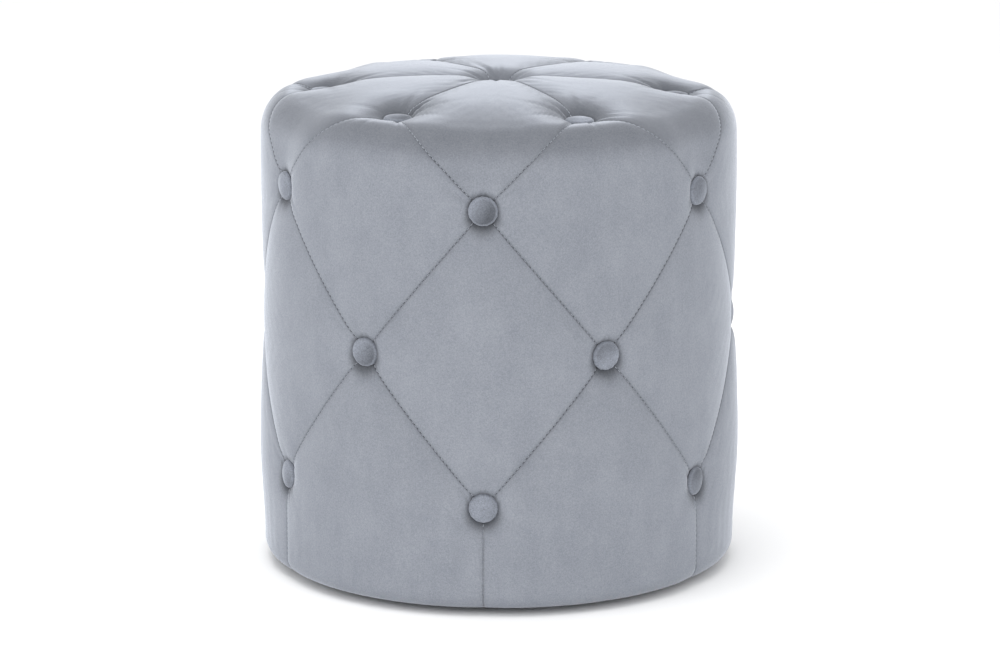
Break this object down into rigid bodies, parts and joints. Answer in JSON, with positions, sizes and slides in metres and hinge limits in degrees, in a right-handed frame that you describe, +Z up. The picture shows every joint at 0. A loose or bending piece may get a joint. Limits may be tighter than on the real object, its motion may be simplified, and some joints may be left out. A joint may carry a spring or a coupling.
{
  "type": "pouf",
  "caption": "Round button-tufted velvet pouf: a padded drum with a sewn diamond cover, covered buttons and a hidden wooden frame on low glides.",
  "frame": {"origin": "on the floor, under the middle of the pouf", "axes": "+Z up along the drum's axis; a column of buttons faces -Y, which is the front in the picture"},
  "size_m": [0.4, 0.4, 0.4133],
  "materials": {
    "velvet": "short-pile velvet, silvery grey-blue, bonded to wadding",
    "button_velvet": "the same velvet stretched over a button shell",
    "foam": "open-cell upholstery foam",
    "plywood": "bare birch plywood",
    "pine": "bare sawn pine",
    "hardboard": "bare hardboard",
    "steel": "zinc-plated steel",
    "twine": "waxed upholstery twine",
    "toggle_plastic": "moulded",
    "dust_cloth": "spun non-woven cloth",
    "glide_plastic": "moulded polypropylene"
  },
  "bodies": {
    "root": {"base_ring": "plywood", "button_backs": "steel", "centre_button": "button_velvet", "crown_panel_1": "velvet", "crown_panel_2": "velvet", "crown_panel_3": "velvet", "crown_panel_4": "velvet", "crown_panel_5": "velvet", "crown_panel_6": "velvet", "drum_tacks": "steel", "dust_cover": "dust_cloth", "dust_cover_staples": "steel", "glide_1": "glide_plastic", "glide_2": "glide_plastic", "glide_3": "glide_plastic", "glide_4": "glide_plastic", "glide_5": "glide_plastic", "glide_6": "glide_plastic", "glide_nails": "steel", "hem_panel_1": "velvet", "hem_panel_2": "velvet", "hem_panel_3": "velvet", "hem_panel_4": "velvet", "hem_panel_5": "velvet", "hem_panel_6": "velvet", "hem_staples": "steel", "lower_row_buttons": "button_velvet", "lower_screws": "steel", "middle_row_buttons": "button_velvet", "seat_ring_buttons": "button_velvet", "shoulder_panel_1": "velvet", "shoulder_panel_2": "velvet", "shoulder_panel_3": "velvet", "shoulder_panel_4": "velvet", "shoulder_panel_5": "velvet", "shoulder_panel_6": "velvet", "side_drum": "hardboard", "side_foam": "foam", "side_panel_1": "velvet", "side_panel_2": "velvet", "side_panel_3": "velvet", "side_panel_4": "velvet", "side_panel_5": "velvet", "side_panel_6": "velvet", "top_board": "plywood", "top_foam": "foam", "tufting_twines": "twine", "twine_toggles": "toggle_plastic", "upper_row_buttons": "button_velvet", "upper_screws": "steel", "upright_1": "pine", "upright_2": "pine", "upright_3": "pine", "upright_4": "pine", "upright_5": "pine", "upright_6": "pine"}
  },
  "joints": []
}
